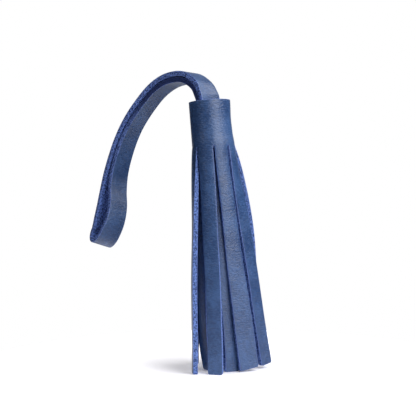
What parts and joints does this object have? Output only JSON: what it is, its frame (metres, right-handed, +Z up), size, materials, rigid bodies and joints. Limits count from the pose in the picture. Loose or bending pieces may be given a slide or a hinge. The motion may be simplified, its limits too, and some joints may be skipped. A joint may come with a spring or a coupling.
{
  "type": "leather tassel",
  "caption": "Leather tassel: a panel slit into flat strips and rolled into a head, with a folded strap that rises from it, arches over and hangs down beside it as a loop.",
  "frame": {"origin": "on the floor, under the middle of the bounding box", "axes": "+Z up from the strip tips to the strap's arch. The strap reaches from the head towards -X, and the eye of its loop looks along Y."},
  "size_m": [0.0822, 0.0584, 0.143],
  "materials": {
    "panel_leather": "semi-matte smooth grain, fibrous cut edges",
    "strap_leather": "semi-matte smooth grain, fibrous cut edges"
  },
  "bodies": {
    "root": {"fringed_panel": "panel_leather", "loop_strap": "strap_leather"}
  },
  "joints": []
}
